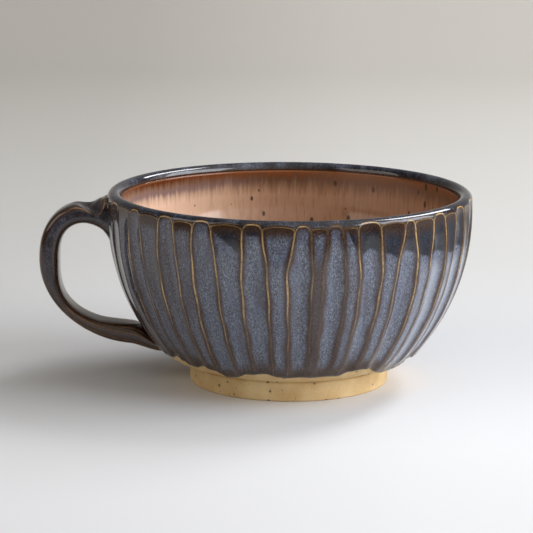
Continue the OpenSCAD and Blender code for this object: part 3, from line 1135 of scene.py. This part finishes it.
    def values(
        self, lip: Array, run: Array, start: Array, turn: Array, from_ridge: Array, rest: Array
    ) -> dict[str, Array]:
        """What the finish needs at each point: see FloatingBlueGlaze.

        Args:
            lip: Angles on the lip.
            run: Runs down the wall.
            start: Start of the carving in every column.
            turn: Turns of the wall's points.
            from_ridge: Distances to the nearest ridge.
            rest: Distances above the glaze line.

        Returns:
            Name to values of all rows.
        """
        outline = self.wall.outline
        flute, place = self.wall.across
        count = len(self.wall.flutes.ridges()[0])
        rng = np.random.default_rng(Seed.BARE_EDGE)
        ridge = (flute + (place > 0.5)) % count
        seen = np.array(self.wall.flutes.bare)
        bare = np.concatenate([seen, rng.uniform(0.45, 1.0, count - len(seen))])[ridge]
        deep = flute % 2 == 0
        below_top = run - start
        is_arch = deep & (below_top < from_ridge)
        fade = 1 - 0.62 * ease(16, 56, run + hand_wobble(Seed.TAN_FADE, turn, run, 6))
        patchy = 0.75 + 0.35 * hand_wobble(Seed.TAN_PATCH, turn, run * 3, 1.0)
        arch_tan = np.minimum(0.95, 1.6 * bare)
        at_top = np.where(below_top > 1.6, 1.0, np.where(deep, 1.0, 0.6))
        tan = np.where(is_arch, arch_tan, bare * fade * patchy * at_top)
        above = (lip - 2 * lip[-1] + lip[-2]) * outline.lip_r
        lip_line = np.minimum(from_ridge, 1.5 * np.abs(below_top - 0.7))
        edge = np.where(deep, self.from_arch(from_ridge, below_top), lip_line)
        lip_edge = np.where(deep, self.from_arch(from_ridge[:1], -1.6 * above), FAR)
        lip_turn = np.broadcast_to(turn[0], lip.shape)
        degrees = table_degrees(turn)
        dip = run - np.interp(degrees, *np.array(self.band).T)
        brown = self.brown_share(run, turn, below_top, rest, dip)
        # Painted sheen: a whitish share in the middle of the lower flutes on the right, where the glaze catches the
        # bright floor
        mid_flute = ease(0.0, 0.3, place) * ease(1.0, 0.5, place)
        pale = 0.55 * ease(38, 56, degrees) * ease(90, 75, degrees) * ease(9, 16, run) * mid_flute
        flow = flows_round(turn, run, outline.bowl_r)
        lip_flow = flows_round(lip_turn, start - above, outline.bowl_r)
        lip_brown = 0.85 * ease(math.radians(140), math.radians(180), lip)
        return {
            "flow": np.concatenate([lip_flow, flow]),
            "edge": np.concatenate([lip_edge, edge]),
            "tan": np.concatenate([np.broadcast_to(arch_tan, lip.shape), tan]),
            "dip": np.concatenate([np.full(lip.shape, -0.5), dip]),
            "brown": np.concatenate([lip_brown, brown]),
            "rest": np.concatenate([rest[:1] + above, rest]),
            "pale": np.concatenate([np.zeros(lip.shape), pale]),
        }

    def brown_share(self, run: Array, turn: Array, below_top: Array, rest: Array, dip: Array) -> Array:
        """Share of brown where the coat is thin, with some painted shade: the most that any of five causes gives.

        They are narrow flutes, the wall under the lip, the top of the dark band, the glaze line, and the
        side of the handle, where the share is partly the glaze's own brown and partly painted shade on the
        shaded left of the wall. All but the first have their own unevenness.

        Args:
            run: Runs down the wall.
            turn: Turns of the wall's points.
            below_top: Distances below the start of the carving.
            rest: Distances above the glaze line.
            dip: Distances below the dark band's end.

        Returns:
            Shares from 0 to about 1.
        """
        flute, _ = self.wall.across
        degrees = table_degrees(turn)
        narrow = ease(5.2, 3.4, np.degrees(self.wall.turn_and_width(run)[1])) * ease(0, 12, run)
        deeper = 1 + 0.6 * ease(-15, -30, degrees)
        under_lip = 1 - ease(1.6, 5.5, (below_top + hand_wobble(Seed.UNDER_LIP, turn, run, 0.8)) / deeper)
        in_band = (dip < 0) * (1 - ease(2, 5, below_top + hand_wobble(Seed.IN_BAND, turn, run, 0.8)))
        at_line = ease(10, 3, rest + hand_wobble(Seed.AT_LINE, turn, run, 1.6))
        # Side of the handle: partly the glaze's own brown, partly painted shade on the left of the wall, which faces
        # away from the light
        brown_and_shade_by_handle = ease(-15, -55, degrees) * (1 + 0.3 * hand_wobble(Seed.BY_HANDLE, turn, run, 1.0))
        shares = [
            0.75 * narrow,
            np.where(flute % 2 == 0, 0.25, 0.95) * under_lip,
            0.75 * in_band,
            0.95 * at_line,
            0.55 * brown_and_shade_by_handle,
        ]
        return np.maximum.reduce(shares)


@dataclass(frozen=True)
class ClayBowl:
    """The bare clay of the bowl: carved outside, flat underside and smooth inside.

    It shows only between the glaze line and the foot.
    """

    wall: CarvedWall
    lip_rows: int = 8
    wall_rows: int = 44
    inside_rows: int = 30
    under_rows: int = 6

    def build(self) -> Grid:
        """Traces the section from the middle of the underside, inside up to the lip, and down outside.

        Returns:
            The grid, with small caps on the axis.
        """
        outline = self.wall.outline
        flute, _ = self.wall.across
        stop = np.full(len(flute), outline.end_run)
        lip, run, _ = self.wall.rows(self.lip_rows, self.wall_rows, stop, 0.0)
        turn, _ = self.wall.turn_and_width(run)
        radius, height = outline.wall(run, -self.wall.depth(run))
        outside = round_grid(radius, turn, height)
        lip_radius, lip_height = outline.lip(lip, 0.0)
        lip_points = round_grid(lip_radius, turn[0], lip_height)
        share = np.linspace(0.03, 1, self.inside_rows)[:, None]
        in_radius, in_height, _ = outline.inside(share, 0.0)
        inside = round_grid(in_radius, turn[0], in_height)
        under_radius = np.linspace(1, 0.06, self.under_rows)[:, None] * radius[-1]
        under = round_grid(under_radius, turn[-1], np.float64(outline.foot_h))
        return Grid(np.concatenate([inside, lip_points[1:], outside, under[1:]]), {}, rows_close=False)


@dataclass(frozen=True)
class LinerGlaze:
    """The pink coat inside, over faint throwing rings."""

    outline: BowlOutline
    thickness: float = 0.5
    columns: int = 256
    rows: int = 120
    back_rows: int = 24
    ring_height: float = 0.12
    ring_pitch: float = 1.9

    def build(self) -> Grid:
        """Traces the coat's seen face from the floor's middle to the lip, and its back face down again.

        Returns:
            The grid, with small caps on the axis.
        """
        turn = np.linspace(0, 2 * math.pi, self.columns, endpoint=False)[None, :]
        share = np.linspace(0.02, 1, self.rows)[:, None]
        radius, height, below = self.outline.inside(share, self.thickness)
        rings = self.ring_height * np.sin(below / self.ring_pitch) * ease(2, 10, below) * ease(8, 20, radius)
        uneven = hand_wobble(Seed.LINER, turn, below, 0.12) * ease(3, 12, below)
        face = round_grid(radius + rings + uneven, turn, height)
        back_share = np.linspace(1, 0.02, self.back_rows)[:, None]
        back_radius, back_height, back_below = self.outline.inside(back_share, 0.0)
        back = round_grid(back_radius, turn, back_height)
        below_all = np.concatenate([below, back_below])
        radius_all = np.concatenate([radius, back_radius])
        shape = (self.rows + self.back_rows, self.columns)
        values = {
            "flow": flows_round(turn, below_all, radius_all),
            "below": np.broadcast_to(below_all, shape),
        }
        return Grid(np.concatenate([face, back]), values, rows_close=False)


@dataclass(frozen=True)
class FootRing:
    """The turned foot: a bare ring with a turned-in neck, eased edges and a shallow recess under it."""

    outer_r: float = 39.8
    height: float = 8.4
    width: float = 6.0
    recess: float = 5.4
    band: float = 7.3
    neck: float = 0.5
    ease_r: float = 0.7
    hub_r: float = 1.5
    mark_height: float = 0.07
    columns: int = 256

    def build(self) -> Grid:
        """Turns the section about the axis, with fine tool marks round its band.

        Each corner is cut by a short quadratic curve, so the edges are eased.

        Returns:
            The grid, with small caps on the axis.
        """
        inner = self.outer_r - self.width
        corners = np.array(
            [
                [self.hub_r, self.height],
                [self.outer_r - self.neck, self.height],
                [self.outer_r - self.neck, self.band + self.neck],
                [self.outer_r, self.band],
                [self.outer_r - 0.35, 0.0],
                [inner + 0.6, 0.0],
                [inner - 0.8, self.recess],
                [self.hub_r, self.recess],
            ]
        )
        before = corners[1:-1] - corners[:-2]
        after = corners[2:] - corners[1:-1]
        size_before = np.linalg.norm(before, axis=1, keepdims=True)
        size_after = np.linalg.norm(after, axis=1, keepdims=True)
        reach = np.minimum(self.ease_r, 0.4 * np.minimum(size_before, size_after))
        t = np.linspace(0, 1, 6)[None, :, None]
        first = (corners[1:-1] - before / size_before * reach)[:, None]
        last = (corners[1:-1] + after / size_after * reach)[:, None]
        eased = (1 - t) ** 2 * first + 2 * t * (1 - t) * corners[1:-1][:, None] + t**2 * last
        path = np.concatenate([corners[:1], eased.reshape(-1, 2), corners[-1:]])
        along = np.concatenate([[0], np.cumsum(np.linalg.norm(np.diff(path, axis=0), axis=1))])
        places = np.union1d(along, np.linspace(0, along[-1], 150))
        radius, height = (np.interp(places, along, path[:, i])[:, None] for i in (0, 1))
        turn = np.linspace(0, 2 * math.pi, self.columns, endpoint=False)[None, :]
        on_band = ease(0.8, 2, height) * ease(self.band - 0.4, self.band - 1.4, height) * (radius > inner + 1)
        marks = self.mark_height * np.sin(height * 5.2 + 0.5 * np.sin(turn))
        marks = marks + hand_wobble(Seed.FOOT, turn, 4 * height, 0.06)
        return Grid(round_grid(radius + marks * on_band, turn, height), {}, rows_close=False)


@dataclass(frozen=True)
class StrapHandle:
    """The pulled strap's glaze coat: a tube round the clay strap, from the lip's side down to the tail.

    The centreline is two cubic curves that meet where the strap reaches furthest out. A thumb hollow is
    pressed into its top beside the bowl, and both ends swell into the wall. Leads and shares are parts of
    the distance that they lead along, and spans along the tail are two distances from the strap's end.

    Attributes:
        outline: The bowl's outline.
        reach: How far the strap reaches out from the bowl's widest level.
        root_drop: The root's depth below the lip's top.
        tail_rise: The tail's height over the foot ring.
        outer_share: Height of the furthest place, as a share of the way up from tail to root.
        hump_rise: How far the upper curve is pulled up over the root.
        root_lead: How far the root's curve leads out.
        root_lift: How far it leads up.
        bend_lead: How far the lower curve leads down from the furthest place.
        tail_lead: How far it leads out from the tail.
        tail_lift: How far it leads up there.
        strap_w: The clay strap's width.
        strap_t: Its thickness.
        bend_thin: How much thinner it is half way down the lower curve.
        root_t: Its thickness in the root.
        thumb_l: Length of the thumb hollow.
        thumb_in: Its depth in the middle.
        thumb_at: Where it is along the strap.
        thumb_lean: How much deeper it is on the near side.
        root_fillet: Radius of the fillet at the root.
        tail_fillet: Thickness of the fillet at the tail.
        fillet_grows: Span in which that fillet grows.
        fillet_ends: Span in which it ends.
        tail_sag: How far the tail sags into the wall.
        sag_span: Span in which it sags.
        tail_lean: How far the tail's section leans.
        lean_span: Span in which it leans.
        tail_t: Thickness of the tail's end.
        level_span: Part of the upper curve in which the section turns level with the wall.
        smear_span: Part of the lower curve in which the tail is smeared thin.
        glaze_t: Thickness of the coat.
        squareness: Power that rounds the section: 1 is an ellipse, 0 a rectangle.
        ridge_h: Height of the ridge beside the thumb hollow.
        ridge_at: Its place from the hollow's middle, in half lengths of the hollow.
        clay_span: Places along the strap where the clay starts and ends.
        rings: Sections along the coat.
        sides: Points round a section.
        inner_step: Every how many sections the coat's back has one.
        edge_lines: Angles of the section's edges, in degrees.
        low_lines: Angles of two more on the low side.
        flow_start: Where the strap's pattern starts, clear of the bowl's.
    """

    outline: BowlOutline
    reach: float = 23.5
    root_drop: float = 10.3
    tail_rise: float = 7.9
    outer_share: float = 0.65
    hump_rise: float = 6.2
    root_lead: float = 0.27
    root_lift: float = 1.8
    bend_lead: float = 0.43
    tail_lead: float = 0.87
    tail_lift: float = 2.4
    strap_w: float = 14.0
    strap_t: float = 7.0
    bend_thin: float = 3.4
    root_t: float = 17.0
    thumb_l: float = 10.0
    thumb_in: float = 3.2
    thumb_at: float = 0.36
    thumb_lean: float = 0.75
    root_fillet: float = 4.5
    tail_fillet: float = 2.0
    fillet_grows: tuple[float, float] = (28.0, 7.9)
    fillet_ends: tuple[float, float] = (2.5, 8.4)
    tail_sag: float = 2.9
    sag_span: tuple[float, float] = (11.4, 3.1)
    tail_lean: float = 0.56
    lean_span: tuple[float, float] = (11.4, 0.0)
    tail_t: float = 2.0
    level_span: float = 0.25
    smear_span: float = 0.25
    glaze_t: float = 0.5
    squareness: float = 0.55
    ridge_h: float = 0.5
    ridge_at: float = -1.25
    clay_span: tuple[float, float] = (0.02, 1.97)
    rings: int = 260
    sides: int = 80
    inner_step: int = 7
    edge_lines: tuple[float, ...] = (34.0, 146.0, 214.0, 326.0)
    low_lines: tuple[float, ...] = (168.0, 190.0)
    flow_start: tuple[float, float, float] = (200.0, 0.0, 0.0)

    def centreline(self, t: Array) -> Array:
        """Points on the centreline: two cubic curves, one for t up to 1 and one for t up to 2.

        Args:
            t: Places along the strap, 0 in the root, 1 furthest out and 2 in the tail.

        Returns:
            X and Z about the bowl's axis.
        """
        o = self.outline
        root = np.array([-(o.bowl_r - o.wall_t / 2), o.lip_top - self.root_drop])
        tail_z = o.foot_h + self.tail_rise
        tail_angle = math.asin((o.base_z - tail_z) / o.base_r)
        tail = np.array([-(o.base_x + o.base_r * math.cos(tail_angle) - o.wall_t / 2), tail_z])
        far = np.array([-(o.bowl_r + self.reach), tail_z + (root[1] - tail_z) * self.outer_share])
        upper = [
            root,
            root + [-self.reach * self.root_lead, self.root_lift],
            np.array([far[0], root[1] + self.hump_rise]),
            far,
        ]
        lower = [
            far,
            np.array([far[0], far[1] - (far[1] - tail_z) * self.bend_lead]),
            np.array([tail[0] - (tail[0] - far[0]) * self.tail_lead, tail_z + self.tail_lift]),
            tail,
        ]
        s = np.where(t <= 1, t, t - 1)[..., None]
        weights = [(1 - s) ** 3, 3 * s * (1 - s) ** 2, 3 * s**2 * (1 - s), s**3]
        curves = [sum(w * p for w, p in zip(weights, curve)) for curve in (upper, lower)]
        return np.where((t <= 1)[..., None], *curves)

    def build(self) -> Grid:
        """Carries a rounded-rectangle section along the centreline, outside and then back inside.

        Returns:
            The grid, closed both ways.
        """
        t = np.linspace(0, 2, self.rings)
        around = np.linspace(0, 2 * math.pi, self.sides, endpoint=False)
        outer, values = self.face(t, around, self.glaze_t)
        inner, _ = self.face(t[::-1][:: self.inner_step], around, 0.0)
        return Grid.coat(outer, inner, values)

    def clay(self) -> Grid:
        """The clay strap inside the coat, from the wall to the wall.

        Returns:
            The grid, with flat caps at both ends.
        """
        around = np.linspace(0, 2 * math.pi, self.sides, endpoint=False)
        points, _ = self.face(np.linspace(*self.clay_span, self.rings // 2), around, 0.0)
        return Grid(points, {}, rows_close=False)

    def face(self, t: Array, around: Array, out: float) -> tuple[Array, dict[str, Array]]:
        """One face of the coat: half widths times signed powers of the angle's cosine and sine.

        The outer face has a ridge beside the thumb hollow and fillets at the wall.

        Args:
            t: Places along the strap.
            around: Angles round its section.
            out: How far the face stands off the clay.

        Returns:
            Points and the values that the finish needs.
        """
        fine = np.linspace(0, 2, 801)
        steps = np.linalg.norm(np.diff(self.centreline(fine), axis=0), axis=1)
        lengths = np.concatenate([[0], np.cumsum(steps)])
        length = np.interp(t, fine, lengths)
        thumb = np.interp(self.thumb_at, fine, lengths)
        rest = lengths[-1] - length
        centre = self.centreline(t) + self.tail_sag * ease(*self.sag_span, rest)[:, None] * [1.0, -1.0]
        step = self.centreline(np.minimum(t + 0.01, 2)) - self.centreline(np.maximum(t - 0.01, 0))
        level = np.maximum(0, 1 - t / self.level_span)[:, None]
        heading = step / np.linalg.norm(step, axis=1, keepdims=True) * (1 - level) + level * [-1.0, 0.0]
        heading = heading / np.linalg.norm(heading, axis=1, keepdims=True)
        thick = (
            self.strap_t
            + (self.root_t - self.strap_t) * np.maximum(0, 1 - 2 * t) ** 2
            - self.bend_thin * ease(1, 1.5, t) * ease(2, 1.5, t)
            - (self.strap_t - self.tail_t) * np.maximum(0, 1 - (2 - t) / self.smear_span) ** 2
        )
        from_thumb = (length - thumb) / (self.thumb_l / 2)
        is_coat = float(out > 0)
        ridge = is_coat * self.ridge_h * np.exp(-(((from_thumb - self.ridge_at) / 0.2) ** 2))
        from_wall = self.root_fillet - np.clip(length - 0.5, 0, self.root_fillet)
        root_fillet = is_coat * (self.root_fillet - np.sqrt(self.root_fillet**2 - from_wall**2))
        tail_fillet = is_coat * self.tail_fillet * ease(*self.fillet_grows, rest) * ease(*self.fillet_ends, rest)
        wide = np.sign(np.cos(around)) * np.abs(np.cos(around)) ** self.squareness
        high = np.sign(np.sin(around)) * np.abs(np.sin(around)) ** self.squareness
        half_w = (self.strap_w / 2 + out + 0.5 * root_fillet)[:, None]
        grown = (thick / 2 + out)[:, None]
        near = np.maximum(0, -wide)
        along = from_thumb[:, None] + 0.1 + 0.95 * near
        away = np.abs(along) / np.where(along < 0, 0.8 - 0.5 * near, 1.1 + 0.9 * near)
        press = self.thumb_in * (1 - self.thumb_lean * wide) * np.cos(math.pi / 2 * np.minimum(away, 1)) ** 2
        upper = grown + ridge[:, None] - press
        half_t = np.where(high > 0, upper, grown + (root_fillet + tail_fillet)[:, None])
        w, h = half_w * wide, half_t * high
        lean = self.tail_lean * ease(*self.lean_span, rest)[:, None] * h
        x = centre[:, :1] + heading[:, 1:] * h + lean
        z = centre[:, 1:] - heading[:, :1] * h
        edge = self.from_edges(around, w, h, ease(*LOW_SIDE, t))
        crease = np.abs(from_thumb - self.ridge_at)[:, None] * self.thumb_l / 2
        edge = np.where((high > 0.5) & (crease < edge), crease, edge)
        saddle = (ease(-1.6, -1.4, from_thumb) * ease(1.5, 0.9, from_thumb))[:, None] * (high > -0.2)
        low_side = np.broadcast_to(ease(*LOW_SIDE, t)[:, None], h.shape)
        flow = flows_round(around[None, :], length[:, None], self.strap_w / 2)
        values = {
            "flow": flow + np.array(self.flow_start),
            "edge": edge,
            "tan": np.maximum(0.9 * saddle, 0.25 + 0.25 * low_side),
            "dip": np.full(h.shape, -0.6),
            "brown": 0.33 + 0.62 * low_side,
            "rest": np.full(h.shape, FAR),
            "pale": np.zeros(h.shape),
        }
        return np.stack([x, w, z], -1), values

    def from_edges(self, around: Array, w: Array, h: Array, low_side: Array) -> Array:
        """Distances round the section to the nearest of the strap's edge lines, the shorter way round.

        Args:
            around: Angles round the section.
            w: Places across the strap.
            h: Places through its thickness.
            low_side: Share of the low side at each place along the strap, where two more lines join in.

        Returns:
            Distances in mm.
        """
        wanted = np.radians(np.array(self.edge_lines + self.low_lines))[:, None]
        lines = np.argmin(np.abs(around[None, :] - wanted), axis=1)
        girth = np.cumsum(np.hypot(np.roll(w, -1, 1) - w, np.roll(h, -1, 1) - h), axis=1)
        gap = np.abs(girth[:, :, None] - girth[:, lines][:, None, :])
        gap = np.minimum(gap, girth[:, -1:, None] - gap)
        gap[..., len(self.edge_lines) :] += FAR * (1 - low_side[:, None, None])
        return gap.min(-1)


# The studio


@dataclass(frozen=True)
class Lamp:
    """A soft rectangular lamp that faces the mug and isn't seen itself.

    Attributes:
        name: The lamp's name.
        place: Where it stands, in metres.
        size: Its width and height, in metres.
        watts: Its power.
        colour: Its colour.
        roll: Turn about its own axis.
        aim: The point it faces.
    """

    name: str
    place: tuple[float, float, float]
    size: tuple[float, float]
    watts: float
    colour: str
    roll: float = 0.0
    aim: tuple[float, float, float] = (0.0, 0.0, 0.04)

    def build(self) -> None:
        """Adds the lamp to the scene."""
        data = bpy.data.lights.new(self.name, "AREA")
        data.shape = "RECTANGLE"
        data.size, data.size_y = self.size
        data.energy = self.watts
        data.color = linear(self.colour)[:3]
        lamp = bpy.data.objects.new(self.name, data)
        bpy.context.scene.collection.objects.link(lamp)
        lamp.location = self.place
        aim = (Vector(self.aim) - Vector(self.place)).to_track_quat("-Z", "Y").to_matrix()
        lamp.rotation_euler = (aim @ Euler((0.0, 0.0, self.roll), "XYZ").to_matrix()).to_euler()
        lamp.visible_camera = False


@dataclass(frozen=True)
class Studio:
    """A pale paper sweep, three soft lamps, a plain room that is brighter to the right, and the camera.

    The lamps are a wide one from the right, a weak fill from the left, and a narrow window behind on the right.

    Attributes:
        distance: Camera to the foot's middle, in metres.
        elevation: Height of the camera over the table, as an angle.
        frame_px: Width of the frame that the next two are measured in.
        focal_px: Focal length in pixels of that frame.
        foot_px: Where the foot's middle falls in that frame.
        roll: Turn of the frame.
        lamps: The lamps.
        room_colour: Colour of the room's light.
        room_bright: Direction that the room is brightest in.
        room_level: Its strength away from that direction and in it.
        floor_y: Where the sweep starts in front and where it passes under the mug, in metres.
        floor_x: Its left and right edge.
        bend_y: Where its quarter round starts.
        bend_r: Radius of that.
        top_z: Height of its upper edge.
    """

    distance: float = 1.0
    elevation: float = math.radians(14.0)
    frame_px: float = 533.0
    focal_px: float = 2484.0
    foot_px: tuple[float, float] = (289.18, 377.0)
    roll: float = math.radians(0.343)
    lamps: tuple[Lamp, ...] = (
        Lamp("sky", (1.35, -0.35, 0.75), (1.4, 1.0), 22.0, "#f2f7ff"),
        Lamp("fill", (-1.2, -0.6, 0.8), (1.2, 1.0), 5.6, "#fff6ea"),
        Lamp("window", (0.8, 0.66, 1.09), (0.9, 0.3), 11.0, "#fbfcff", math.radians(-59)),
    )
    room_colour: str = "#e4e0d9"
    room_bright: tuple[float, float, float] = (0.9, -0.1, 0.4)
    room_level: tuple[float, float] = (0.09, 1.4)
    floor_y: tuple[float, float] = (-3.0, 0.0)
    floor_x: tuple[float, float] = (-3.0, 3.0)
    bend_y: float = 1.0
    bend_r: float = 0.5
    top_z: float = 2.2

    def camera(self) -> None:
        """Aims the camera so that the foot's middle falls where it does in the photo."""
        data = bpy.data.cameras.new("camera")
        data.sensor_width = 36.0
        data.lens = self.focal_px / self.frame_px * data.sensor_width
        data.clip_end = 50.0
        camera = bpy.data.objects.new("camera", data)
        bpy.context.scene.collection.objects.link(camera)
        camera.location = (
            axis_x() * MM,
            -self.distance * math.cos(self.elevation),
            self.distance * math.sin(self.elevation),
        )
        right, down = ((p - self.frame_px / 2) / self.focal_px for p in self.foot_px)
        pitch = math.pi / 2 - self.elevation + math.atan(down)
        turn = Euler((pitch, 0.0, math.atan(right) / math.cos(self.elevation)), "XYZ").to_matrix()
        roll = Euler((0.0, 0.0, self.roll), "XYZ").to_matrix()
        camera.rotation_euler = (turn @ roll).to_euler()
        bpy.context.scene.camera = camera

    def sweep(self) -> None:
        """Lays the floor and the wall behind as one sheet: flat, a quarter round, then upright."""
        angle = np.linspace(0, math.pi / 2, 24)
        back = self.bend_y + self.bend_r
        y = np.concatenate([self.floor_y, self.bend_y + self.bend_r * np.sin(angle), [back]])
        z = np.concatenate([[0.0, 0.0], self.bend_r * (1 - np.cos(angle)), [self.top_z]])
        x = np.array(self.floor_x)
        points = np.stack(np.broadcast_arrays(x[None, :], y[:, None], z[:, None]), -1)
        number = np.arange(points.shape[0] * 2).reshape(-1, 2)
        quads = np.stack([number[:-1, 0], number[:-1, 1], number[1:, 1], number[1:, 0]], -1)
        mesh = bpy.data.meshes.new("sweep")
        mesh.from_pydata(points.reshape(-1, 3).tolist(), [], quads.tolist())
        mesh.polygons.foreach_set("use_smooth", np.ones(len(mesh.polygons), bool))
        mesh.materials.append(PalePaper().material())
        sheet = bpy.data.objects.new("sweep", mesh)
        bpy.context.scene.collection.objects.link(sheet)

    def room(self) -> None:
        """Sets the room's light: plain, and stronger towards its bright side."""
        world = bpy.data.worlds.new("room")
        world.use_nodes = True
        tree = world.node_tree
        tree.nodes.clear()
        toward = add(tree, "TexCoord", out="Generated")
        facing = {"operation": "DOT_PRODUCT", 1: self.room_bright}
        side = add(tree, "VectorMath", facing, {0: toward}, "Value")
        dim, bright = self.room_level
        level = add(
            tree, "MapRange", {"From Min": -0.2, "From Max": 1.0, "To Min": dim, "To Max": bright}, {"Value": side}
        )
        light = add(tree, "Background", {"Color": linear(self.room_colour)}, {"Strength": level})
        add(tree, "OutputWorld", None, {"Surface": light})
        bpy.context.scene.world = world

    def build(self) -> None:
        """Sets up the room, the sweep, the lamps and the camera."""
        self.room()
        self.sweep()
        for lamp in self.lamps:
            lamp.build()
        self.camera()
        bpy.context.scene.view_settings.view_transform = "Standard"


def dress_hidden(slip: bpy.types.Material) -> None:
    """Gives the CAD nodes that stay, inside the coats, their slip.

    Args:
        slip: The luting slip.
    """
    for name in ("upper_slip_joint", "lower_slip_joint"):
        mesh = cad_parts[name].data
        mesh.materials.clear()
        mesh.materials.append(slip)


def main() -> None:
    """Builds the mug's pieces in order, then the studio."""
    logging.basicConfig(level=logging.INFO, format="%(name)s %(message)s")
    outline = BowlOutline()
    wall = CarvedWall(outline, Flutes())
    clay = BuffStoneware().material()
    slip = BuffStoneware(name="luting_slip", pale="#d8c39a", deep="#b99f74").material()
    blue = FloatingBlueGlaze().material()
    pink = PinkLinerGlaze().material()
    ClayBowl(wall).build().make("clay_bowl", clay, "bowl", Slot.STONEWARE)
    FootRing().build().make("turned_foot", clay, "foot_ring", Slot.STONEWARE)
    OuterGlaze(wall).build().make("blue_coat", blue, "outer_glaze", Slot.BLUE_GLAZE)
    LinerGlaze(outline).build().make("pink_liner", pink, "liner_glaze", Slot.LINER_GLAZE)
    strap = StrapHandle(outline)
    strap.clay().make("strap_clay", clay, "handle", Slot.STONEWARE)
    strap.build().make("strap_coat", blue, "handle_glaze", Slot.BLUE_GLAZE)
    dress_hidden(slip)
    Studio().build()


if __name__ == "__main__":
    main()
